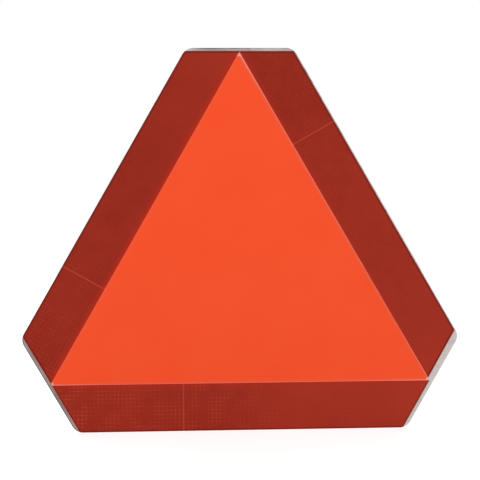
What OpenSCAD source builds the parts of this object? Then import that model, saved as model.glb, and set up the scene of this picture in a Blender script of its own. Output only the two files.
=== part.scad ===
// Slow moving vehicle emblem: four films laid up on one blanked aluminium plate.
// A fluorescent triangle fills the middle, and three strips of prismatic reflective film
// border it. The plate is not quite regular, and each film is cut, trimmed and laid by
// hand, so no two ends or gaps are alike.
// The emblem stands upright with its face to -Y and +Z up. The origin is on the plate's
// back face, level with the triangle's centroid.
// The parts are drawn lying flat, face up, with the bottom strip towards -Y, and are
// then stood up together. A strip is drawn as the bottom one and turned to its own side.

/* [Plate] */
// Side of the fluorescent triangle before its tips are trimmed
triangle_side = 355.6; // [250:0.1:500]
// Width of the border, from the triangle to a long side of the plate
border_w = 44.45; // [30:0.05:60]
// Bare metal from the triangle's full tip to the plate's cut corner
tip_margin = 3.175; // [1:0.025:10]
// How far the top cut lies outside its regular place
top_cut_out = 0.3; // [0:0.05:1.5]
// How far the right side lies outside its regular place
right_side_out = 0.65; // [0:0.05:1.5]
// How far the lower right cut lies outside its regular place
low_right_cut_out = 0.2; // [0:0.05:1.5]
// How far the lower left cut lies inside its regular place
low_left_cut_in = 1.55; // [0:0.05:2.5]
// Radius of the plate's six corners
corner_r = 11.5; // [4:0.1:24]
// Thickness of the aluminium sheet
plate_t = 1.016; // [0.8:0.002:3]
// Metal left bare where a film is trimmed along the plate's edge
trim_back = 0.2; // [0.05:0.05:0.6]

/* [Fluorescent film] */
// Thickness of the fluorescent film
fluorescent_t = 0.2; // [0.1:0.01:0.4]
// Length trimmed off the top tip
top_tip_trim = 1.2; // [0.2:0.1:8]
// Length trimmed off the lower left tip
left_tip_trim = 1.9; // [0.2:0.1:8]
// Length trimmed off the lower right tip
right_tip_trim = 1.9; // [0.2:0.1:8]
// Gap to the left strip at its top end
left_gap_top = 0.05; // [0.05:0.05:1]
// Gap to the left strip at its lower end
left_gap_low = 0.05; // [0.05:0.05:1]
// Gap to the right strip at its lower end
right_gap_low = 0.05; // [0.05:0.05:1]
// Gap to the right strip at its top end
right_gap_top = 0.15; // [0.05:0.05:1]
// Gap to the bottom strip at its left end
bottom_gap_left = 0.05; // [0.05:0.05:1]
// Gap to the bottom strip at its right end
bottom_gap_right = 0.15; // [0.05:0.05:1]

/* [Reflective film] */
// Thickness of the reflective film
reflective_t = 0.36; // [0.2:0.01:0.6]
// Gap between two strips whose ends both reach the triangle's tip
strip_gap = 0.1; // [0.05:0.05:1]
// Width of the joint line between two tiles of prisms
joint_w = 0.85; // [0.3:0.05:2]
// Depth of the joint line below the film's face
joint_depth = 0.06; // [0.02:0.01:0.15]

/* [Left strip] */
// Bare metal between the strip's top end and the plate's cut corner
left_bare_top = 2.85; // [0.5:0.05:12]
// Bare metal between the strip's lower end and the plate's cut corner
left_bare_low = 3.45; // [0.5:0.05:12]
// Error in the angle of the lower end's cut, in degrees
left_skew_low = -0.3; // [-3:0.05:3]
// Distance of the joint line from the strip's middle, towards the lower end
left_joint_at = 75; // [-100:0.5:100]
// Error in the joint line's squareness, in degrees
left_joint_skew = 0.5; // [-3:0.05:3]

/* [Right strip] */
// Bare metal between the strip and the plate's right side
right_margin = 1; // [0.7:0.05:3]
// Bare metal between the strip's lower end and the plate's cut corner
right_bare_low = 5.95; // [0.5:0.05:12]
// Bare metal between the strip's top end and the plate's cut corner
right_bare_top = 2.95; // [0.5:0.05:12]
// Error in the angle of the lower end's cut, in degrees
right_skew_low = 0.75; // [-3:0.05:3]
// Distance of the joint line from the strip's middle, towards the top end
right_joint_at = 78.5; // [-100:0.5:100]
// Error in the joint line's squareness, in degrees
right_joint_skew = -0.3; // [-3:0.05:3]

/* [Bottom strip] */
// Bare metal between the strip's left end and the plate's cut corner
bottom_bare_left = 3.45; // [0.5:0.05:12]
// Bare metal between the strip's right end and the plate's cut corner
bottom_bare_right = 3.65; // [0.5:0.05:12]
// Error in the angle of the left end's cut, in degrees
bottom_skew_left = -0.45; // [-3:0.05:3]
// Error in the angle of the right end's cut, in degrees
bottom_skew_right = -0.35; // [-3:0.05:3]
// Distance of the joint line from the strip's middle, towards the right end
bottom_joint_at = -54; // [-100:0.5:100]
// Error in the joint line's squareness, in degrees
bottom_joint_skew = -0.2; // [-3:0.05:3]

/* [Hidden] */

$fn = 96;

metal_colour = "#b8b6b2";
fluorescent_colour = "#f3512c";
reflective_colour = "#9c2f24";

// The plate has six sides, whose directions are 60 degrees apart. Side 0 faces down, and
// every second side from there carries a strip.
corner_turn = 60;

// A strip's end is cut this far from square to the strip
end_slope = 90 - corner_turn;

// The corner radii stand this far proud of the sides, so that no sliver is left where
// they meet
corner_proud = 0.002;

// Distances from the centroid
half_side = triangle_side / 2;
inner_d = triangle_side / (2 * sqrt(3));
tip_d = 2 * inner_d;
side_d = inner_d + border_w;
cut_d = tip_d + tip_margin;

// The same for the plate's six sides as they were cut, counterclockwise from the bottom
plate_d = [
    side_d,
    cut_d + low_right_cut_out,
    side_d + right_side_out,
    cut_d + top_cut_out,
    side_d,
    cut_d - low_left_cut_in,
];
bottom_side = 0;
right_side = 2;
left_side = 4;

// Unit vector at an angle
function ray(a) = [cos(a), sin(a)];

// Distance of the plate's side number i, counted round and round
function side_at(i) = plate_d[i % 6];

// Centre of the corner radius between a side facing angle a and the next one
function corner_centre(a, near, next) =
    near * ray(a) + (next - near * cos(corner_turn)) / sin(corner_turn) * ray(a + 90);

// The three tips of the triangle, each trimmed square to its own axis
function trimmed_tip(a, trim) = [
    for (s = [-1, 1])
        (tip_d - trim) * ray(a) + s * trim * tan(corner_turn / 2) * ray(a + 90)
];

// Outline of the plate, drawn in by a distance all round and turned so that side number
// first faces down
module plate_outline(inset, first = 0) {
    r = corner_r - inset;
    corners = [
        for (i = [0:5])
            corner_centre(corner_turn * i - 90, side_at(first + i) - corner_r,
                side_at(first + i + 1) - corner_r)
    ];
    polygon([
        for (i = [0:5], a = [0, corner_turn])
            corners[i] + r * ray(corner_turn * i - 90 + a)
    ]);
    for (c = corners) translate(c) circle(r + corner_proud);
}

// What the knife takes off the triangle's bottom side to leave its gap
module gap_cut(gap_left, gap_right) {
    polygon([
        [-half_side, -inner_d + gap_left],
        [-half_side, -inner_d - gap_left],
        [half_side, -inner_d - gap_right],
        [half_side, -inner_d + gap_right],
    ]);
}

// The part of the emblem that belongs to the bottom side, between the axes of two tips
module side_wedge() {
    translate([0, -strip_gap / 2 / sin(corner_turn)])
        polygon([[0, 0], 2 * tip_d * ray(210), 2 * tip_d * ray(330)]);
}

// One reflective strip, drawn as the bottom one: the blank is cut to its margin and end
// angles, trimmed to the plate, and crossed by its joint line. End a is at -X.
module strip(side, margin, bare_a, bare_b, skew_a, skew_b, joint_at, joint_skew) {
    width = side_at(side) - margin - inner_d;
    short_a = tip_d - (side_at(side + 5) - bare_a);
    short_b = tip_d - (side_at(side + 1) - bare_b);
    function end_a(v) = -half_side + short_a / sin(corner_turn) + v * tan(end_slope + skew_a);
    function end_b(v) = half_side - short_b / sin(corner_turn) - v * tan(end_slope + skew_b);
    difference() {
        linear_extrude(reflective_t) intersection() {
            polygon([
                [end_a(0), -inner_d],
                [end_a(width), -inner_d - width],
                [end_b(width), -inner_d - width],
                [end_b(0), -inner_d],
            ]);
            plate_outline(trim_back, side);
            side_wedge();
        }
        translate([joint_at, -inner_d - border_w / 2, reflective_t - joint_depth])
            rotate(joint_skew)
                translate([-joint_w / 2, -border_w, 0])
                    cube([joint_w, 2 * border_w, 2 * joint_depth]);
    }
}

// Stands a flat piece up with its face to -Y, at a height above the back face
module stood_up(height) {
    rotate([90, 0, 0]) translate([0, 0, height]) children();
}

module backing_plate() {
    color(metal_colour) stood_up(0) linear_extrude(plate_t) plate_outline(0);
}

module fluorescent_triangle() {
    color(fluorescent_colour) stood_up(plate_t)
        linear_extrude(fluorescent_t) difference() {
            polygon(concat(
                trimmed_tip(90, top_tip_trim),
                trimmed_tip(210, left_tip_trim),
                trimmed_tip(330, right_tip_trim)
            ));
            gap_cut(bottom_gap_left, bottom_gap_right);
            rotate(corner_turn * right_side) gap_cut(right_gap_low, right_gap_top);
            rotate(corner_turn * left_side) gap_cut(left_gap_top, left_gap_low);
        }
}

module left_reflective_strip() {
    color(reflective_colour) stood_up(plate_t) rotate(corner_turn * left_side)
        strip(left_side, 0, left_bare_top, left_bare_low, 0, left_skew_low,
            left_joint_at, left_joint_skew);
}

module right_reflective_strip() {
    color(reflective_colour) stood_up(plate_t) rotate(corner_turn * right_side)
        strip(right_side, right_margin, right_bare_low, right_bare_top, right_skew_low, 0,
            right_joint_at, right_joint_skew);
}

module bottom_reflective_strip() {
    color(reflective_colour) stood_up(plate_t)
        strip(bottom_side, 0, bottom_bare_left, bottom_bare_right, bottom_skew_left,
            bottom_skew_right, bottom_joint_at, bottom_joint_skew);
}

backing_plate();
fluorescent_triangle();
left_reflective_strip();
right_reflective_strip();
bottom_reflective_strip();
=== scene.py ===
import math

import bmesh
import bpy
from mathutils import Matrix, Vector, noise


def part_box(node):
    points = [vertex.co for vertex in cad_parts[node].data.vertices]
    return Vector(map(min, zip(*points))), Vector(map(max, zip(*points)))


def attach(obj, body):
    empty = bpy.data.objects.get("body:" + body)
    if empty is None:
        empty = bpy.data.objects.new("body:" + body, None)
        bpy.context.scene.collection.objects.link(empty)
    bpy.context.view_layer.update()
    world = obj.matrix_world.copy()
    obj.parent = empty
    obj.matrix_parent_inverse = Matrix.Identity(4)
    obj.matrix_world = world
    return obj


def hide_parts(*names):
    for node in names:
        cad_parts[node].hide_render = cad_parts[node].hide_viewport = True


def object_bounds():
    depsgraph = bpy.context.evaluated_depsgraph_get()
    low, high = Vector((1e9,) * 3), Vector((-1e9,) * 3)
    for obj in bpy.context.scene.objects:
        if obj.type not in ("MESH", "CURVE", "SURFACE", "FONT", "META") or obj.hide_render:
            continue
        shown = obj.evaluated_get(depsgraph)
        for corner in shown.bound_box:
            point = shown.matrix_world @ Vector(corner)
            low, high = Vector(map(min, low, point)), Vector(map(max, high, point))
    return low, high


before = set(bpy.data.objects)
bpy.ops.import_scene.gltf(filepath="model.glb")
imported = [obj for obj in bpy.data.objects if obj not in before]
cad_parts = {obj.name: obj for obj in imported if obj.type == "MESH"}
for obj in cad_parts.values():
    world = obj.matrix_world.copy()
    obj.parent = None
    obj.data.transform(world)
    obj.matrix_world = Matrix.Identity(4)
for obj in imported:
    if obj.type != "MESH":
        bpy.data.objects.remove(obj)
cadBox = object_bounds()

# Everything is drawn lying flat, face up, in millimetres, with the bottom strip towards -Y.
# It is then stood up together, so that the face looks to -Y, in metres.
mm = 0.001
standUp = Matrix.Scale(mm, 4) @ Matrix.Rotation(math.radians(90), 4, "X")

emblem = {
    "triangleSide": 355.6,
    "borderWidth": 44.45,
    "tipMargin": 3.175,  # bare metal from the triangle's full tip to the cut corner
    "cornerRadius": 11.5,
    # how far each side was cut outside its regular place, counterclockwise from the bottom
    "cutOutside": (0, 0.2, 0.65, 0.3, 0, -1.55),
    "arcSteps": 20,
    "filmTrim": 0.2,  # metal left bare where a film is trimmed along the plate's edge
}
triangleHalf = emblem["triangleSide"] / 2
innerDist = emblem["triangleSide"] / (2 * math.sqrt(3))  # centroid to the triangle's side
tipDist = 2 * innerDist
sideDist = innerDist + emblem["borderWidth"]
cutDist = tipDist + emblem["tipMargin"]
plateDists = [
    (sideDist, cutDist)[i % 2] + outside for i, outside in enumerate(emblem["cutOutside"])
]


def sideAt(number):
    # distance of a side of the plate; 0 faces down, and 0, 2 and 4 carry the strips
    return plateDists[number % 6]


def ray(degrees):
    return Vector((math.cos(math.radians(degrees)), math.sin(math.radians(degrees)), 0))


def turn(degrees):
    return Matrix.Rotation(math.radians(degrees), 4, "Z")


def wander(place, scale, seed):
    # a smooth unevenness between about -1 and 1
    return 2 * noise.noise(place * scale + Vector((seed * 7.3, seed * 3.1, seed)))


# Materials

def linear(hexCode):
    parts = [int(hexCode[i:i + 2], 16) / 255 for i in (1, 3, 5)]
    return [p / 12.92 if p <= 0.04045 else ((p + 0.055) / 1.055) ** 2.4 for p in parts] + [1]


mixA, mixB, mixOut = 6, 7, 2  # the colour sockets of a Mix node


def addNode(tree, kind, inputs=None, **settings):
    # inputs maps a socket's name or number to a value, or to the output that feeds it
    node = tree.nodes.new("ShaderNode" + kind)
    for name, value in settings.items():
        setattr(node, name, value)
    for key, value in (inputs or {}).items():
        if isinstance(value, bpy.types.NodeSocket):
            tree.links.new(value, node.inputs[key])
        else:
            node.inputs[key].default_value = value
    return node


def newMaterial(name):
    material = bpy.data.materials.new(name)
    material.use_nodes = True
    tree = material.node_tree
    shader = tree.nodes["Principled BSDF"]
    return material, tree, shader


def setShader(shader, **values):
    for name, value in values.items():
        shader.inputs[name.replace("_", " ")].default_value = value


def perMetre(size):
    # scale of a noise whose features are about size millimetres
    return 1 / (size * mm)


soilingAndHighlight = {
    "from": (0.16, -0.12),  # x and z in metres: clean here,
    "to": (-0.2, -0.02),  # and most soiled here
    "highlightAt": (-0.05, 0, 0.207),  # painted highlight: the top left corner is drawn less soiled, so lighter, where light catches it
    "highlightReach": 0.019,
    "highlightMost": 0.5,
}


def addSoilingAndHighlight(tree, coords):
    # 0 where the plate is still clean to 1 where it is most soiled, less a painted highlight that
    # lightens the top left corner
    start, end = Vector(soilingAndHighlight["from"]), Vector(soilingAndHighlight["to"])
    slope = (end - start) / (end - start).length_squared
    fromStart = addNode(tree, "VectorMath", {
        0: coords.outputs["Object"], 1: (start.x, 0, start.y),
    }, operation="SUBTRACT")
    soiled = addNode(tree, "VectorMath", {
        0: fromStart.outputs[0], 1: (slope.x, 0, slope.y),
    }, operation="DOT_PRODUCT")
    off = addNode(tree, "VectorMath", {
        0: coords.outputs["Object"], 1: soilingAndHighlight["highlightAt"],
    }, operation="DISTANCE")
    cornerHighlight = addNode(tree, "MapRange", {
        "Value": off.outputs["Value"], "From Max": soilingAndHighlight["highlightReach"],
        "To Min": soilingAndHighlight["highlightMost"], "To Max": 0,
    })
    return addNode(tree, "Math", {
        0: soiled.outputs["Value"], 1: cornerHighlight.outputs[0],
    }, operation="SUBTRACT").outputs[0]


millFinish = {
    "metal": "#CDCBC8",
    "streakDark": "#ABA8A4",
    "cloud": "#A3A19F",
    "smudge": "#7A6A64",
    # the dark of the rim: grime, and painted shade for the dark line at the plate's edge
    "rimGrimeAndShade": "#3E3834",
    "rimDarkPatchSize": 9,
    "rimDarkFull": 0.45,  # grime and painted shade lie in the burr this far in from the rim,
    "rimDarkEnds": 1.1,  # and ends here
    "stain": "#FFAFB2",  # multiplies the metal's colour
    "stainStarts": 0.4,  # distance in from the rim
    "stainFull": 2.6,
    "stainMost": 0.45,
    "stainLeast": 0.35,  # share of it that shows where the plate is clean
    "rimWidth": 3,  # the rim attribute falls from 1 to 0 over this
    "roughness": (0.34, 0.5),
    "streakWidth": 1.6,  # rolling lines are nearer 0.1 mm; drawn coarser so that they show
    "streakLength": 140,
    "streakDepth": 0.02,
    "cloudMost": 0.4,
    "smudgeMost": 0.95,
    "smudgeSize": 46,
    "scratchWidth": 0.9,
    "scratchLength": 60,
    "scratchAngle": 23,
    "scratchDepth": 0.03,
    "buckle": 70,  # slow unevenness of thin sheet
    "buckleDepth": 0.4,
}


def makeMillAluminium():
    # Mill-finish 5052 sheet: rolled, not polished. Grey and soft, with fine rolling lines
    # along the sheet, cloudy smudges from handling and a few fine scratches. Where it is
    # soiled it is also stained pink beside the films, by their red adhesive.
    s = millFinish
    material, tree, shader = newMaterial("millFinishAluminium")
    coords = addNode(tree, "TexCoord")
    along = addNode(tree, "Mapping", {
        "Vector": coords.outputs["Object"],
        "Scale": (s["streakWidth"] / s["streakLength"], 1, 1),
    })
    streaks = addNode(tree, "TexNoise", {
        "Vector": along.outputs[0], "Scale": perMetre(s["streakWidth"]), "Detail": 4,
        "Roughness": 0.6,
    })
    smudges = addNode(tree, "TexNoise", {
        "Vector": coords.outputs["Object"], "Scale": perMetre(s["smudgeSize"]), "Detail": 5,
        "Roughness": 0.62, "Distortion": 0.4,
    })
    askew = addNode(tree, "Mapping", {
        "Vector": coords.outputs["Object"],
        "Rotation": (0, math.radians(s["scratchAngle"]), 0),
        "Scale": (s["scratchWidth"] / s["scratchLength"], 1, 1),
    })
    scratches = addNode(tree, "TexNoise", {
        "Vector": askew.outputs[0], "Scale": perMetre(s["scratchWidth"]), "Detail": 1,
    })
    scratchLine = addNode(tree, "MapRange", {
        "Value": scratches.outputs[0], "From Min": 0.68, "From Max": 0.76,
    })
    base = addNode(tree, "Mix", {
        "Factor": streaks.outputs[0], mixA: linear(s["streakDark"]), mixB: linear(s["metal"]),
    }, data_type="RGBA")
    cloudShare = addNode(tree, "MapRange", {
        "Value": smudges.outputs[0], "From Min": 0.42, "From Max": 0.68,
        "To Max": s["cloudMost"],
    })
    clouded = addNode(tree, "Mix", {
        "Factor": cloudShare.outputs[0], mixA: base.outputs[mixOut], mixB: linear(s["cloud"]),
    }, data_type="RGBA")
    filmSide = addNode(tree, "Attribute", attribute_name="filmSide")
    # soiling, less the painted highlight at the top left corner
    soiled = addSoilingAndHighlight(tree, coords)
    soiledPatches = addNode(tree, "Math", {
        0: soiled, 1: filmSide.outputs["Fac"], 2: smudges.outputs[0],
    }, operation="MULTIPLY_ADD")
    smudgeShare = addNode(tree, "MapRange", {
        "Value": soiledPatches.outputs[0], "From Min": 0.9, "From Max": 1.6,
        "To Max": s["smudgeMost"],
    })
    handled = addNode(tree, "Mix", {
        "Factor": smudgeShare.outputs[0], mixA: clouded.outputs[mixOut], mixB: linear(s["smudge"]),
    }, data_type="RGBA")
    # grime in the burr along the rim, with painted shade for the dark line at the plate's edge,
    # thickest where the plate is most soiled
    rim = addNode(tree, "Attribute", attribute_name="rim")
    rimDarkPatches = addNode(tree, "TexNoise", {
        "Vector": coords.outputs["Object"], "Scale": perMetre(s["rimDarkPatchSize"]), "Detail": 3,
    })
    rimDarkHold = addNode(tree, "Math", {
        0: rimDarkPatches.outputs[0], 1: smudgeShare.outputs[0],
    }, operation="ADD")
    rimDarkShare = addNode(tree, "MapRange", {
        "Value": rimDarkHold.outputs[0], "From Min": 0.5, "From Max": 0.95,
    })
    nearRim = addNode(tree, "MapRange", {
        "Value": rim.outputs["Fac"],
        "From Min": 1 - s["rimDarkEnds"] / s["rimWidth"],
        "From Max": 1 - s["rimDarkFull"] / s["rimWidth"],
    })
    rimGrimeAndShadeShare = addNode(tree, "Math", {
        0: rimDarkShare.outputs[0], 1: nearRim.outputs[0],
    }, operation="MULTIPLY")
    inFromRim = addNode(tree, "MapRange", {
        "Value": rim.outputs["Fac"],
        "From Min": 1 - s["stainStarts"] / s["rimWidth"],
        "From Max": 1 - s["stainFull"] / s["rimWidth"], "To Max": s["stainMost"],
    })
    stainHold = addNode(tree, "MapRange", {
        "Value": soiled, "From Max": 0.5, "To Min": s["stainLeast"],
    })
    onFilmSide = addNode(tree, "Math", {
        0: stainHold.outputs[0], 1: filmSide.outputs["Fac"],
    }, operation="MULTIPLY")
    stainShare = addNode(tree, "Math", {
        0: inFromRim.outputs[0], 1: onFilmSide.outputs[0],
    }, operation="MULTIPLY")
    stained = addNode(tree, "Mix", {
        "Factor": stainShare.outputs[0], mixA: handled.outputs[mixOut], mixB: linear(s["stain"]),
    }, data_type="RGBA", blend_type="MULTIPLY")
    colour = addNode(tree, "Mix", {
        "Factor": rimGrimeAndShadeShare.outputs[0], mixA: stained.outputs[mixOut], mixB: linear(s["rimGrimeAndShade"]),
    }, data_type="RGBA")
    rough = addNode(tree, "MapRange", {
        "Value": smudges.outputs[0], "From Min": 0.3, "From Max": 0.7,
        "To Min": s["roughness"][0], "To Max": s["roughness"][1],
    })
    buckle = addNode(tree, "TexNoise", {
        "Vector": coords.outputs["Object"], "Scale": perMetre(s["buckle"]), "Detail": 1,
    })
    sheetBump = addNode(tree, "Bump", {
        "Height": buckle.outputs[0], "Distance": s["buckleDepth"] * mm, "Strength": 0.6,
    })
    streakBump = addNode(tree, "Bump", {
        "Height": streaks.outputs[0], "Distance": s["streakDepth"] * mm, "Strength": 0.5,
        "Normal": sheetBump.outputs[0],
    })
    scratchBump = addNode(tree, "Bump", {
        "Height": scratchLine.outputs[0], "Distance": s["scratchDepth"] * mm, "Strength": 0.4,
        "Normal": streakBump.outputs[0],
    }, invert=True)
    tree.links.new(colour.outputs[mixOut], shader.inputs["Base Color"])
    tree.links.new(rough.outputs[0], shader.inputs["Roughness"])
    tree.links.new(scratchBump.outputs[0], shader.inputs["Normal"])
    setShader(shader, Metallic=1)
    return material


blankedEdge = {
    "bright": "#C9C6C3",
    # the darker edge: grime, and painted shade for the dark line along the plate's edge
    "grimyAndShaded": "#6A6562",
    "stain": "#FFA89F",  # multiplies the metal's colour beside a film
    "stainMost": 0.8,
    "roughness": 0.46,
    "tearSize": 0.5,
    "tearDepth": 0.04,
    "patchSize": 14,
}


def makeBlankedEdge():
    # The same sheet where the blanking die has rolled and sheared it: duller, and darker than
    # the face in patches, for grime in the rough torn metal and painted shade for the dark line
    # along the plate's edge. Where a film was trimmed at the edge, the knife has dragged its
    # red adhesive over the metal.
    s = blankedEdge
    material, tree, shader = newMaterial("blankedAluminiumEdge")
    coords = addNode(tree, "TexCoord")
    patches = addNode(tree, "TexNoise", {
        "Vector": coords.outputs["Object"], "Scale": perMetre(s["patchSize"]), "Detail": 3,
    })
    tear = addNode(tree, "TexNoise", {
        "Vector": coords.outputs["Object"], "Scale": perMetre(s["tearSize"]), "Detail": 2,
    })
    # the painted highlight at the top left corner lightens the edge there too
    soiledPatches = addNode(tree, "Math", {
        0: patches.outputs[0], 1: addSoilingAndHighlight(tree, coords),
    }, operation="ADD")
    share = addNode(tree, "MapRange", {
        "Value": soiledPatches.outputs[0], "From Min": 0.6, "From Max": 1.3,
    })
    colour = addNode(tree, "Mix", {
        "Factor": share.outputs[0], mixA: linear(s["bright"]), mixB: linear(s["grimyAndShaded"]),
    }, data_type="RGBA")
    besideFilm = addNode(tree, "Attribute", attribute_name="besideFilm")
    stainShare = addNode(tree, "MapRange", {
        "Value": besideFilm.outputs["Fac"], "To Max": s["stainMost"],
    })
    stained = addNode(tree, "Mix", {
        "Factor": stainShare.outputs[0], mixA: colour.outputs[mixOut], mixB: linear(s["stain"]),
    }, data_type="RGBA", blend_type="MULTIPLY")
    bump = addNode(tree, "Bump", {
        "Height": tear.outputs[0], "Distance": s["tearDepth"] * mm, "Strength": 0.5,
    })
    tree.links.new(stained.outputs[mixOut], shader.inputs["Base Color"])
    tree.links.new(bump.outputs[0], shader.inputs["Normal"])
    setShader(shader, Metallic=1, Roughness=s["roughness"])
    return material


fluorescentVinyl = {
    "colour": "#F54B1B",
    "paler": "#F64E20",
    "edgeTone": "#DE6248",
    "edgeToneMost": 0.5,
    "rimWidth": 2,  # darker and pinker within this distance of its edge
    "roughness": (0.3, 0.38),
    "ior": 1.53,
    "specular": 0.22,
    "patchSize": 55,
    "grainSize": 1.3,  # calendering grain is about 0.4 mm; drawn coarser so that it shows
    "grainDepth": 0.01,
}


def makeFluorescentVinyl():
    # Calendered PVC film dyed with fluorescent pigment under a clear satin face: one very
    # even, glowing red-orange, with the faintest clouding and a fine grain in the shine. It is
    # drawn darker and pinker towards its cut edges.
    s = fluorescentVinyl
    material, tree, shader = newMaterial("fluorescentVinyl")
    coords = addNode(tree, "TexCoord")
    clouds = addNode(tree, "TexNoise", {
        "Vector": coords.outputs["Object"], "Scale": perMetre(s["patchSize"]), "Detail": 2,
    })
    grain = addNode(tree, "TexNoise", {
        "Vector": coords.outputs["Object"], "Scale": perMetre(s["grainSize"]), "Detail": 2,
    })
    share = addNode(tree, "MapRange", {
        "Value": clouds.outputs[0], "From Min": 0.35, "From Max": 0.65,
    })
    colour = addNode(tree, "Mix", {
        "Factor": share.outputs[0], mixA: linear(s["colour"]), mixB: linear(s["paler"]),
    }, data_type="RGBA")
    rim = addNode(tree, "Attribute", attribute_name="rim")
    edgeToneShare = addNode(tree, "MapRange", {
        "Value": rim.outputs["Fac"], "To Max": s["edgeToneMost"],
    })
    edgeTone = addNode(tree, "Mix", {
        "Factor": edgeToneShare.outputs[0], mixA: colour.outputs[mixOut], mixB: linear(s["edgeTone"]),
    }, data_type="RGBA")
    rough = addNode(tree, "MapRange", {
        "Value": clouds.outputs[0], "From Min": 0.3, "From Max": 0.7,
        "To Min": s["roughness"][0], "To Max": s["roughness"][1],
    })
    bump = addNode(tree, "Bump", {
        "Height": grain.outputs[0], "Distance": s["grainDepth"] * mm, "Strength": 0.35,
    })
    tree.links.new(edgeTone.outputs[mixOut], shader.inputs["Base Color"])
    tree.links.new(rough.outputs[0], shader.inputs["Roughness"])
    tree.links.new(bump.outputs[0], shader.inputs["Normal"])
    setShader(shader, IOR=s["ior"], Specular_IOR_Level=s["specular"])
    return material


prismFilm = {
    "cell": "#8D1F0B",
    # painted glint: some cells are drawn a little lighter, as their prisms catch the light
    "cellCatchingLight": "#92220F",
    "seal": "#C04030",
    # the paler tone, for patches of the face and for the ends drawn paler
    "paleTone": "#A72E1A",
    "edgeShade": "#6C180B",
    # painted shade: a dark line a little in from each cut edge, by the rim attribute, which is 1
    # at a cut edge
    "edgeShadeFull": 0.45,  # fully dark from here,
    "edgeShadeClears": (0.7, 0.9),  # and clears over this,
    "edgeShadeLeast": 0.2,  # to this share at the very edge
    "dyed": "#B32103",
    "dyedReach": 4.5,  # dye from the fluorescent film has crept in this far from the seam
    "roughness": (0.29, 0.37),
    "ior": 1.49,
    "specular": 0.15,
    "pitch": 3.75,  # spacing of the lattice of seals between the prism cells
    "sealWidth": 0.5,  # really 0.3 mm; drawn wider so that the lattice just shows
    "sealPatch": 16,  # the seals are pressed unevenly, in patches
    "emboss": 0.02,
    "jointWidth": 0.85,
    "jointDepth": 0.06,
    "jointWall": 0.06,
    "driftSize": 150,
    "driftMost": 0.5,
}


def makePrismSheeting():
    # Prismatic reflective sheeting by day: a dark red clear acrylic face over rows of tiny
    # prisms, sealed down in a square lattice. The cells are deep and dark, each drawn a little
    # lighter or darker as a painted glint, its prisms catching the light at their own angle.
    # The seals, with no air behind them, are a little paler, and as they are pressed unevenly
    # they show in patches; how strongly they show at each end is a painted glint, as each roll
    # lies at its own angle to the light. The face is drawn paler in patches and towards set
    # ends, and has taken up orange dye beside the triangle.
    s = prismFilm
    material, tree, shader = newMaterial("prismaticSheeting")
    coords = addNode(tree, "UVMap", uv_map="sheet")
    pressed = addNode(tree, "TexNoise", {
        "Vector": coords.outputs[0], "Scale": perMetre(s["sealPatch"]), "Detail": 1,
    })
    pressedShare = addNode(tree, "MapRange", {
        "Value": pressed.outputs[0], "From Min": 0.35, "From Max": 0.65,
    })
    # painted glint: how strongly the seals show at each end of a strip, by the roll's angle to the
    # light
    sealGlint = addNode(tree, "Attribute", attribute_name="sealGlint")
    sealShare = addNode(tree, "Math", {
        0: pressedShare.outputs[0], 1: sealGlint.outputs["Fac"],
    }, operation="MULTIPLY")
    sealColour = addNode(tree, "Mix", {
        "Factor": sealShare.outputs[0], mixA: linear(s["cell"]), mixB: linear(s["seal"]),
    }, data_type="RGBA")
    # painted glint: each cell is drawn a little lighter or darker at random, as the prisms catch
    # the light at their own angles
    cells = addNode(tree, "TexBrick", {
        "Vector": coords.outputs[0],
        "Color1": linear(s["cell"]), "Color2": linear(s["cellCatchingLight"]),
        "Mortar": sealColour.outputs[mixOut], "Scale": perMetre(s["pitch"]),
        "Mortar Size": s["sealWidth"] / 2 / s["pitch"], "Mortar Smooth": 0.3,
        "Brick Width": 1, "Row Height": 1,
    }, offset=0, squash=1)
    drift = addNode(tree, "TexNoise", {
        "Vector": coords.outputs[0], "Scale": perMetre(s["driftSize"]), "Detail": 3,
    })
    share = addNode(tree, "MapRange", {
        "Value": drift.outputs[0], "From Min": 0.42, "From Max": 0.72,
        "To Max": s["driftMost"],
    })
    # the face is drawn paler towards set ends of each strip
    paling = addNode(tree, "Attribute", attribute_name="paling")
    paleShare = addNode(tree, "Math", {0: share.outputs[0], 1: paling.outputs["Fac"]}, operation="ADD")
    colour = addNode(tree, "Mix", {
        "Factor": paleShare.outputs[0], mixA: cells.outputs[0], mixB: linear(s["paleTone"]),
    }, data_type="RGBA")
    seamDye = addNode(tree, "Attribute", attribute_name="seamDye")
    dyed = addNode(tree, "Mix", {
        "Factor": seamDye.outputs["Fac"], mixA: colour.outputs[mixOut], mixB: linear(s["dyed"]),
    }, data_type="RGBA")
    # painted shade: a dark line a little in from each cut edge, where the edge shades the face
    rim = addNode(tree, "Attribute", attribute_name="rim")
    inFromEdge = addNode(tree, "MapRange", {
        "Value": rim.outputs["Fac"], "From Max": s["edgeShadeFull"],
    })
    offEdge = addNode(tree, "MapRange", {
        "Value": rim.outputs["Fac"],
        "From Min": s["edgeShadeClears"][0], "From Max": s["edgeShadeClears"][1],
        "To Min": 1, "To Max": s["edgeShadeLeast"],
    })
    edgeShadeBand = addNode(tree, "Math", {
        0: inFromEdge.outputs[0], 1: offEdge.outputs[0],
    }, operation="MULTIPLY")
    edgeShaded = addNode(tree, "Mix", {
        "Factor": edgeShadeBand.outputs[0], mixA: dyed.outputs[mixOut], mixB: linear(s["edgeShade"]),
    }, data_type="RGBA")
    rough = addNode(tree, "MapRange", {
        "Value": drift.outputs[0], "From Min": 0.3, "From Max": 0.7,
        "To Min": s["roughness"][0], "To Max": s["roughness"][1],
    })
    tree.links.new(edgeShaded.outputs[mixOut], shader.inputs["Base Color"])
    tree.links.new(rough.outputs[0], shader.inputs["Roughness"])
    setShader(shader, IOR=s["ior"], Specular_IOR_Level=s["specular"])
    return material


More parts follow.
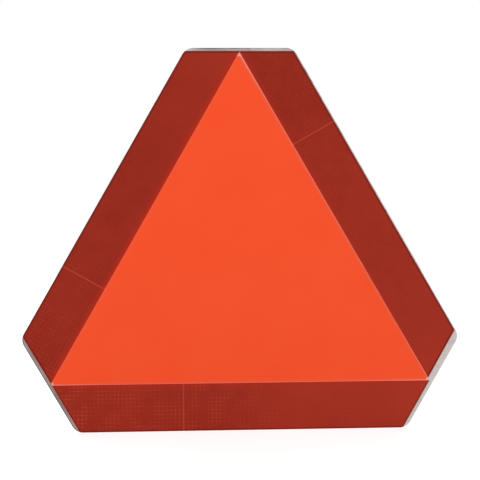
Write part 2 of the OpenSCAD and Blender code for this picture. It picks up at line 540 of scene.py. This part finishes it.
sheetJoint = {
    "colour": "#B4362A",
    "paler": "#BB4030",
    "roughness": 0.4,
    "specular": 0.2,
    "patchSize": 5,
}


def makeSheetJoint():
    # Where two tiles of the prism tooling meet there are no prisms, only plain red film on
    # its pale backing: a lighter, milkier line.
    s = sheetJoint
    material, tree, shader = newMaterial("sheetingJoint")
    coords = addNode(tree, "UVMap", uv_map="sheet")
    patches = addNode(tree, "TexNoise", {
        "Vector": coords.outputs[0], "Scale": perMetre(s["patchSize"]), "Detail": 2,
    })
    colour = addNode(tree, "Mix", {
        "Factor": patches.outputs[0], mixA: linear(s["colour"]), mixB: linear(s["paler"]),
    }, data_type="RGBA")
    tree.links.new(colour.outputs[mixOut], shader.inputs["Base Color"])
    setShader(shader, Roughness=s["roughness"], Specular_IOR_Level=s["specular"])
    setShader(shader, IOR=prismFilm["ior"])
    return material


filmBacking = {"colour": "#F2A58E", "soiled": "#E58A72", "fresh": "#F2A58E", "patchSize": 8}
seamAdhesive = {"colour": "#F66F59", "soiled": "#EE654F", "fresh": "#F8A592", "patchSize": 12}
adhesive = {
    "freshFrom": 0.16,  # distance from the centroid in metres
    "freshFull": 0.2,
    "freshMost": 0.55,
    "roughness": 0.7,
    "specular": 0.2,
}


def makeAdhesive(name, s):
    # White backing and acrylic adhesive seen at a knife-cut edge, tinted by the film above
    # it and a little soiled. In the seams it has taken up more of the films' dye, though
    # less towards the triangle's tips.
    material, tree, shader = newMaterial(name)
    coords = addNode(tree, "TexCoord")
    patches = addNode(tree, "TexNoise", {
        "Vector": coords.outputs["Object"], "Scale": perMetre(s["patchSize"]), "Detail": 3,
    })
    colour = addNode(tree, "Mix", {
        "Factor": patches.outputs[0], mixA: linear(s["colour"]), mixB: linear(s["soiled"]),
    }, data_type="RGBA")
    out = addNode(tree, "VectorMath", {0: coords.outputs["Object"]}, operation="LENGTH")
    freshShare = addNode(tree, "MapRange", {
        "Value": out.outputs["Value"], "From Min": adhesive["freshFrom"],
        "From Max": adhesive["freshFull"], "To Max": adhesive["freshMost"],
    })
    paler = addNode(tree, "Mix", {
        "Factor": freshShare.outputs[0], mixA: colour.outputs[mixOut], mixB: linear(s["fresh"]),
    }, data_type="RGBA")
    tree.links.new(paler.outputs[mixOut], shader.inputs["Base Color"])
    setShader(shader, Roughness=adhesive["roughness"], Specular_IOR_Level=adhesive["specular"])
    return material


millAluminium = makeMillAluminium()
edgeAluminium = makeBlankedEdge()
orangeVinyl = makeFluorescentVinyl()
redSheeting = makePrismSheeting()
jointSheeting = makeSheetJoint()
backing = makeAdhesive("filmBackingAndAdhesive", filmBacking)
dyedAdhesive = makeAdhesive("dyedSeamAdhesive", seamAdhesive)
print("materials made")


# Meshes

def addPlateOutline(bm, inset, first=0):
    # one face with the plate's outline, drawn in by inset and turned so that the side of
    # that number faces down: six arcs spun about their centres
    radius = emblem["cornerRadius"]
    across, along = math.sin(math.radians(60)), math.cos(math.radians(60))
    firstVert = lastVert = None
    for corner in range(6):
        facing = 60 * corner - 90
        near = sideAt(first + corner) - radius
        following = sideAt(first + corner + 1) - radius
        centre = near * ray(facing) + (following - near * along) / across * ray(facing + 90)
        arcVert = bm.verts.new(centre + (radius - inset) * ray(facing))
        arc = bmesh.ops.spin(
            bm, geom=[arcVert], cent=centre, axis=(0, 0, 1), angle=math.radians(60),
            steps=emblem["arcSteps"], use_merge=False,
        )
        if lastVert:
            bm.edges.new((lastVert, arcVert))
        firstVert = firstVert or arcVert
        lastVert = next(e for e in arc["geom_last"] if isinstance(e, bmesh.types.BMVert))
    bm.edges.new((lastVert, firstVert))
    face = bmesh.ops.edgeloop_fill(bm, edges=bm.edges[:])["faces"][0]
    if face.normal.z < 0:
        face.normal_flip()
    return face


def allGeom(bm):
    return bm.verts[:] + bm.edges[:] + bm.faces[:]


snap = 1e-5  # a cut goes through a corner that is nearer to it than this
nearLine = 0.01  # a corner nearer to a line than this was cut on it


def trimBeyond(bm, point, outward):
    bmesh.ops.bisect_plane(
        bm, geom=allGeom(bm), dist=snap, plane_co=point, plane_no=outward, clear_outer=True,
    )


def score(bm, point, across):
    bmesh.ops.bisect_plane(bm, geom=allGeom(bm), dist=snap, plane_co=point, plane_no=across)


def dropWalls(bm, edges, depths):
    # walls down from a flat sheet's border in one band per depth, then the underside.
    # Gives the faces of each band, the underside's last.
    bands = []
    for depth in depths:
        made = bmesh.ops.extrude_edge_only(bm, edges=edges)["geom"]
        verts = [g for g in made if isinstance(g, bmesh.types.BMVert)]
        edges = [g for g in made if isinstance(g, bmesh.types.BMEdge) and g.is_boundary]
        edges = [e for e in edges if all(v in verts for v in e.verts)]
        bands.append([g for g in made if isinstance(g, bmesh.types.BMFace)])
        for v in verts:
            v.co.z = -depth
    bands.append(bmesh.ops.edgeloop_fill(bm, edges=edges)["faces"])
    bmesh.ops.recalc_face_normals(bm, faces=bm.faces[:])
    return bands


def finishPiece(bm, name, node, materials, place):
    bmesh.ops.transform(bm, matrix=standUp @ place, verts=bm.verts)
    mesh = bpy.data.meshes.new(name)
    bm.to_mesh(mesh)
    bm.free()
    for material in materials:
        mesh.materials.append(material)
    piece = bpy.data.objects.new(name, mesh)
    bpy.context.scene.collection.objects.link(piece)
    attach(piece, "root")
    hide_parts(node)
    return piece


def flatHeight(node, end):
    # distance in millimetres of a node's face (0) or back (1) in front of the plate's back
    return -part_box(node)[end].y / mm


# The plate

plate = {
    "thickness": flatHeight("backing_plate", 0),
    "roll": 0.22,  # the die rounds the front edge over
    "deburr": 0.08,  # and the back edge is only eased
    "sheared": 0.35,  # share of the edge that the punch shears clean before the metal tears
    "tearIn": 0.03,
    "edgeStep": 6,
}


def addRing(bm, face, layer, width):
    # a ring inside a flat face's border, over which the layer falls from 1 to 0
    for v in face.verts:
        v[layer] = 1
    bmesh.ops.inset_region(
        bm, faces=[face], thickness=width, use_boundary=True, use_even_offset=True,
    )
    for v in face.verts:
        v[layer] = 0


def buildPlate():
    s = plate
    bm = bmesh.new()
    rimBand = bm.verts.layers.float.new("rim")
    filmSide = bm.verts.layers.float.new("filmSide")
    besideFilm = bm.verts.layers.float.new("besideFilm")
    addPlateOutline(bm, 0)
    longEdges = [e for e in bm.edges if e.calc_length() > 4 * s["edgeStep"]]
    cuts = {e: int(e.calc_length() / s["edgeStep"]) for e in longEdges}
    for count in set(cuts.values()):
        edges = [e for e in longEdges if cuts[e] == count]
        bmesh.ops.subdivide_edges(bm, edges=edges, cuts=count)
    (front,) = bm.faces
    addRing(bm, front, rimBand, millFinish["rimWidth"])
    for v in bm.verts:
        v[filmSide] = 1
        fromSides = [sideAt(side) - v.co @ ray(60 * side - 90) for side in (0, 2, 4)]
        v[besideFilm] = 1 if min(fromSides) < s["roll"] else 0
    rim = [e for e in bm.edges if e.is_boundary]
    clean, torn, (under,) = dropWalls(bm, rim, (s["sheared"] * s["thickness"], s["thickness"]))
    bmesh.ops.translate(bm, verts=bm.verts[:], vec=(0, 0, s["thickness"]))
    for f in clean + torn:
        f.material_index = 1
    # the torn band leans in slightly and wanders
    for v in under.verts:
        v[filmSide] = 0
        v[besideFilm] = 0
        inward = -Vector((v.co.x, v.co.y, 0)).normalized()
        v.co += inward * s["tearIn"] * (1 + 0.5 * wander(v.co, 0.2, 3))
    addRing(bm, under, rimBand, millFinish["rimWidth"])
    backRim = [
        e for e in bm.edges
        if any(f in torn for f in e.link_faces) and all(f not in clean for f in e.link_faces)
        and any(f not in torn for f in e.link_faces)
    ]
    for edges, offset, segments in ((rim, s["roll"], 4), (backRim, s["deburr"], 2)):
        rounded = bmesh.ops.bevel(
            bm, geom=edges, offset=offset, offset_type="OFFSET", affect="EDGES",
            segments=segments, profile=0.5, material=-1, clamp_overlap=True,
        )["faces"]
        for f in rounded:
            f.material_index = 1
    for f in bm.faces:
        f.smooth = f.material_index == 1  # the flat faces stay flat
    return finishPiece(
        bm, "plate_sheet", "backing_plate",
        [millAluminium, edgeAluminium], Matrix.Identity(4),
    )


# The fluorescent triangle

triangle = {
    "back": flatHeight("backing_plate", 0),
    "front": flatHeight("fluorescent_triangle", 0),
    "adhesive": 0.07,
    "trims": (1.2, 1.9, 1.9),  # off the top, lower left and lower right tips
    "tornTips": (4.2, 3.6, 3.9),  # the vinyl's own tips end here
    "gaps": {0: (0.05, 0.15), 2: (0.05, 0.15), 4: (0.05, 0.05)},  # to the strip on each side
    # how far the vinyl has shrunk back beyond that gap, off its adhesive
    "shrunk": {0: (0.65, 0.8), 2: (0.5, 1.15), 4: (0.05, 0.05)},
    "adhesiveGap": 0.01,  # the adhesive has crept out to the strips
    "edgeStep": 5,
    "waver": 0.04,
}


def buildTriangle():
    s = triangle
    thick = s["front"] - s["back"]
    bm = bmesh.new()
    rimBand = bm.verts.layers.float.new("rim")
    tips = [bm.verts.new(tipDist * ray(90 + 120 * i)) for i in range(3)]
    bm.faces.new(tips)
    for i, (trim, torn) in enumerate(zip(s["trims"], s["tornTips"])):
        outward = ray(90 + 120 * i)
        trimBeyond(bm, (tipDist - trim) * outward, outward)
        score(bm, (tipDist - torn) * outward, outward)
    adhesiveGaps = (s["adhesiveGap"], s["adhesiveGap"])
    for side, gaps in s["gaps"].items():
        vinylGaps = [gap + shrunk for gap, shrunk in zip(gaps, s["shrunk"][side])]
        for cut, (start, end) in ((trimBeyond, adhesiveGaps), (score, vinylGaps)):
            lean = math.atan2(end - start, emblem["triangleSide"])
            onEdge = Vector((-triangleHalf, start - innerDist, 0))
            outward = Vector((math.sin(lean), -math.cos(lean), 0))
            cut(bm, turn(60 * side) @ onEdge, turn(60 * side) @ outward)
    vinyl = max(bm.faces, key=lambda f: f.calc_area())
    longEdges = [e for e in bm.edges if e.calc_length() > 10 * s["edgeStep"]]
    bmesh.ops.subdivide_edges(
        bm, edges=longEdges, cuts=int(emblem["triangleSide"] / s["edgeStep"]),
    )
    # a knife run along a straightedge by hand never leaves a quite straight edge
    vinylVerts = set(vinyl.verts)
    for v in bm.verts:
        ripple = s["waver"] if v in vinylVerts else s["waver"] / 3
        v.co -= v.co.normalized() * ripple * (1 + wander(v.co, 0.03, 5))
    ledge = [f for f in bm.faces if f is not vinyl]
    border = [e for e in bm.edges if e.is_boundary]
    walls, under = dropWalls(bm, border, (s["adhesive"],))
    raised = bmesh.ops.extrude_face_region(bm, geom=[vinyl, *vinyl.edges, *vinyl.verts])["geom"]
    top = [g for g in raised if isinstance(g, bmesh.types.BMVert)]
    (vinylTop,) = [g for g in raised if isinstance(g, bmesh.types.BMFace)]
    bmesh.ops.translate(bm, verts=top, vec=(0, 0, thick - s["adhesive"]))
    addRing(bm, vinylTop, rimBand, fluorescentVinyl["rimWidth"])
    bmesh.ops.translate(bm, verts=bm.verts[:], vec=(0, 0, s["back"] + s["adhesive"]))
    for f in walls + under:
        f.material_index = 1
    for f in ledge:
        reaches = [f.calc_center_median() @ ray(90 + 120 * i) for i in range(3)]
        onTip = any(reach > tipDist - torn for reach, torn in zip(reaches, s["tornTips"]))
        f.material_index = 1 if onTip else 2
    return finishPiece(
        bm, "triangle_film", "fluorescent_triangle",
        [orangeVinyl, backing, dyedAdhesive], Matrix.Identity(4),
    )


# The reflective strips, each drawn as the bottom one and turned to its own side.
# The pairs are for its two ends, first at -X, then at +X. At each end, the seal pair is
# how strongly the seals show, a painted glint as each roll lies at its own angle to the
# light, and the pair after it how much paler the face is drawn.

strips = {
    "left_strip": {
        "node": "left_reflective_strip", "side": 4, "margin": 0, "bare": (2.85, 3.45),
        "skew": (0, -0.3), "jointAt": 75, "jointSkew": 0.5,
        "waver": 0.01, "edgeShadeBand": 2.2, "latticeStart": 1.6, "rollStart": 520,
        "sealGlint": (-0.15, 0.5), "paling": (0.27, -0.2), "seamDye": 1,
    },
    "right_strip": {
        "node": "right_reflective_strip", "side": 2, "margin": 1, "bare": (5.95, 2.95),
        "skew": (0.75, 0), "jointAt": 78.5, "jointSkew": -0.3,
        "waver": 0.03, "edgeShadeBand": 2.2, "latticeStart": 1.3, "rollStart": 300,
        "sealGlint": (0.25, 0.25), "paling": (0.53, -0.18), "seamDye": 0.5,
    },
    "bottom_strip": {
        "node": "bottom_reflective_strip", "side": 0, "margin": 0, "bare": (3.45, 3.65),
        "skew": (-0.45, -0.35), "jointAt": -54, "jointSkew": -0.2,
        "waver": 0.03, "edgeShadeBand": 1.6, "latticeStart": 2.1, "rollStart": 920,
        "sealGlint": (1, 0.5), "paling": (-0.15, 0.87), "seamDye": 0.5,
    },
}
stripStack = {
    "back": flatHeight("backing_plate", 0),
    "front": flatHeight("left_reflective_strip", 0),
    "backing": 0.14,
    "gap": 0.1,  # between two strips whose ends both reach the triangle's tip
    "shortestSide": 0.9,  # a cell cut smaller than this isn't embossed
    "sharpestCorner": 25,
}


def buildStrip(name, s):
    thick = stripStack["front"] - stripStack["back"]
    pitch = prismFilm["pitch"]
    bm = bmesh.new()
    rimBand = bm.verts.layers.float.new("rim")
    seamDye = bm.verts.layers.float.new("seamDye")
    sealGlint = bm.verts.layers.float.new("sealGlint")
    paling = bm.verts.layers.float.new("paling")
    addPlateOutline(bm, emblem["filmTrim"], s["side"])
    # cut to the triangle's side, the margin and the two ends
    trimBeyond(bm, Vector((0, -innerDist, 0)), Vector((0, 1, 0)))
    outerLine = max(s["margin"], emblem["filmTrim"]) - sideAt(s["side"])
    cuts = [(Vector((0, outerLine, 0)), Vector((0, -1, 0)))]
    for end, side in enumerate((-1, 1)):
        short = tipDist - (sideAt(s["side"] + side) - s["bare"][end])
        reach = triangleHalf - short / math.sin(math.radians(60))
        slope = math.tan(math.radians(30 + s["skew"][end]))
        outward = Vector((side, -slope, 0)).normalized()
        cuts.append((Vector((side * reach, -innerDist, 0)), outward))
    # each cut also scores the inner end of the band of painted edge shade
    for point, outward in cuts:
        trimBeyond(bm, point, outward)
        score(bm, point - s["edgeShadeBand"] * outward, outward)
    for side in (-1, 1):
        fromAxis = Vector((0, -stripStack["gap"] / 2 / math.sin(math.radians(60)), 0))
        trimBeyond(bm, fromAxis, ray(90 - 30 * side))
    # the joint between two tiles, then the lattice of seals, counted from the joint
    jointCentre = Vector((s["jointAt"], -innerDist - emblem["borderWidth"] / 2, 0))
    acrossJoint = turn(s["jointSkew"]) @ Vector((1, 0, 0))
    halfJoint = prismFilm["jointWidth"] / 2
    jointFloor = halfJoint - prismFilm["jointWall"]
    for offset in (-halfJoint, -jointFloor, jointFloor, halfJoint):
        score(bm, jointCentre + offset * acrossJoint, acrossJoint)
    columns = int(2 * triangleHalf / pitch)
    for i in range(1, columns + 1):
        for side in (-1, 1):
            x = s["jointAt"] + side * (halfJoint + i * pitch)
            if abs(x) < triangleHalf:
                score(bm, Vector((x, 0, 0)), Vector((1, 0, 0)))
    for i in range(int(emblem["borderWidth"] / pitch) + 1):
        score(bm, Vector((0, -innerDist - s["latticeStart"] - i * pitch, 0)), Vector((0, 1, 0)))
    faces = bm.faces[:]
    joint = [
        f for f in faces
        if abs((f.calc_center_median() - jointCentre) @ acrossJoint) < halfJoint
    ]
    sunk = [
        v for v in bm.verts
        if abs((v.co - jointCentre) @ acrossJoint) < jointFloor + nearLine
    ]
    cells = [
        f for f in faces
        if f not in joint and min(e.calc_length() for e in f.edges) > stripStack["shortestSide"]
        and min(loop.calc_angle() for loop in f.loops) > math.radians(stripStack["sharpestCorner"])
    ]
    # rim is 1 at the outer side and the ends, and 0 from the width of the painted edge shade
    # inwards
    for v in bm.verts:
        depth = min((point - v.co) @ outward for point, outward in cuts)
        onCorner = v.is_boundary and v.co.y < -innerDist - nearLine
        v[rimBand] = 1 if onCorner else max(1 - depth / s["edgeShadeBand"], 0)
        fromSeam = -innerDist - v.co.y
        v[seamDye] = s["seamDye"] * max(1 - fromSeam / prismFilm["dyedReach"], 0)
        along = v.co.x / emblem["triangleSide"] + 0.5
        # how strongly the seals' painted glint shows, from one end to the other
        v[sealGlint] = max(s["sealGlint"][0] * (1 - along) + s["sealGlint"][1] * along, 0)
        # how much paler the face is drawn, from one end to the other
        v[paling] = s["paling"][0] * (1 - along) + s["paling"][1] * along
    # the knife wavers along the gap
    for v in bm.verts:
        if v.co.y > -innerDist - nearLine:
            v.co.y -= s["waver"] * (1 + wander(v.co, 0.04, s["side"]))
    border = [e for e in bm.edges if e.is_boundary]
    top, glue, under = dropWalls(bm, border, (thick - stripStack["backing"], thick))
    for v in sunk:
        v.co.z -= prismFilm["jointDepth"]
    bmesh.ops.translate(bm, verts=bm.verts[:], vec=(0, 0, stripStack["front"]))
    for v in set(v for f in faces for v in f.verts):
        v.co.z -= prismFilm["emboss"]
    for f in joint:
        f.material_index = 1
    for f in glue + under:
        f.material_index = 3 if f.normal.y > 0.5 else 2
    bmesh.ops.inset_individual(
        bm, faces=cells, thickness=prismFilm["sealWidth"] / 2, depth=prismFilm["emboss"],
        use_even_offset=True,
    )
    sheet = bm.loops.layers.uv.new("sheet")
    for f in bm.faces:
        for loop in f.loops:
            x = loop.vert.co.x - s["jointAt"]
            x = math.copysign(max(abs(x) - halfJoint, 0), x) + s["rollStart"] * pitch
            y = loop.vert.co.y + innerDist + s["latticeStart"]
            loop[sheet].uv = (x * mm, y * mm)
    return finishPiece(
        bm, name, s["node"],
        [redSheeting, jointSheeting, backing, dyedAdhesive], turn(60 * s["side"]),
    )


buildPlate()
buildTriangle()
print("plate and triangle built")
for name, settings in strips.items():
    buildStrip(name, settings)
    print("built", name)


# Stage, lights and camera

stage = {
    "floorLevel": cadBox[0].z,
    "floorSize": 4.4,
    "floorColour": "#C4C4C4",
    "floorRoughness": 0.9,
    "floorGlow": 0.55,  # lifts the floor to the white of the background
    "ambient": 0.57,
    "lampDistance": 7,
    "lampSize": 4.5,
    "lamps": {  # azimuth, elevation, watts
        "key": (-38, 40, 174), "fill": (42, 36, 142),
        "backKey": (146, 40, 174), "backFill": (-138, 36, 142),
    },
}


def seenDirectly(tree):
    # 1 for what the camera sees, in metal and glass too, and 0 for the light on the object
    path = addNode(tree, "LightPath")
    either = addNode(tree, "Math", {
        0: path.outputs["Is Camera Ray"], 1: path.outputs["Is Glossy Ray"],
    }, operation="MAXIMUM")
    return addNode(tree, "Math", {
        0: either.outputs[0], 1: path.outputs["Is Transmission Ray"],
    }, operation="MAXIMUM").outputs[0]


def buildFloor():
    s = stage
    bm = bmesh.new()
    bmesh.ops.create_grid(bm, x_segments=1, y_segments=1, size=s["floorSize"] / 2)
    bmesh.ops.translate(bm, verts=bm.verts, vec=(0, 0, s["floorLevel"]))
    mesh = bpy.data.meshes.new("floor")
    bm.to_mesh(mesh)
    bm.free()
    material, tree, shader = newMaterial("paleFloor")
    setShader(shader, Roughness=s["floorRoughness"], Specular_IOR_Level=0)
    shader.inputs["Base Color"].default_value = linear(s["floorColour"])
    shader.inputs["Emission Color"].default_value = linear("#FFFFFF")
    glow = addNode(tree, "Math", {0: seenDirectly(tree), 1: s["floorGlow"]}, operation="MULTIPLY")
    tree.links.new(glow.outputs[0], shader.inputs["Emission Strength"])
    mesh.materials.append(material)
    floor = bpy.data.objects.new("floor", mesh)
    bpy.context.scene.collection.objects.link(floor)


def buildWorld():
    world = bpy.data.worlds.new("paleStudio")
    bpy.context.scene.world = world
    world.use_nodes = True
    tree = world.node_tree
    strength = addNode(tree, "MapRange", {
        "Value": seenDirectly(tree), "To Min": stage["ambient"], "To Max": 1,
    })
    background = tree.nodes["Background"]
    background.inputs["Color"].default_value = linear("#FFFFFF")
    tree.links.new(strength.outputs[0], background.inputs["Strength"])


def addLamp(name, azimuth, elevation, watts):
    # azimuth 0 is in front of the emblem, and 90 is to its right
    lamp = bpy.data.lights.new(name, "AREA")
    lamp.shape = "DISK"
    lamp.size = stage["lampSize"]
    lamp.energy = watts
    place = Matrix.Rotation(math.radians(azimuth), 4, "Z")
    place = place @ Matrix.Rotation(-math.radians(elevation), 4, "X")
    holder = bpy.data.objects.new(name, lamp)
    holder.location = place @ Vector((0, -stage["lampDistance"], 0))
    holder.rotation_euler = holder.location.to_track_quat("Z", "Y").to_euler()
    holder.visible_camera = False
    bpy.context.scene.collection.objects.link(holder)


cameraSettings = {
    "lens": 85,
    "sensorWidth": 36,
    # about a metre away, a little left of the triangle's middle and above it
    "place": (-0.05125, -1.0534, 0.07266),
    "turned": (87.7386, 0.3619, -2.7811),  # degrees about X, Y and Z
}


def addCamera():
    s = cameraSettings
    lens = bpy.data.cameras.new("camera")
    lens.lens = s["lens"]
    lens.sensor_width = s["sensorWidth"]
    camera = bpy.data.objects.new("camera", lens)
    camera.location = s["place"]
    camera.rotation_euler = [math.radians(angle) for angle in s["turned"]]
    bpy.context.scene.collection.objects.link(camera)
    bpy.context.scene.camera = camera


buildFloor()
buildWorld()
for name, (azimuth, elevation, watts) in stage["lamps"].items():
    addLamp(name, azimuth, elevation, watts)
addCamera()
bpy.context.scene.view_settings.view_transform = "Standard"
print("stage, lights and camera set")
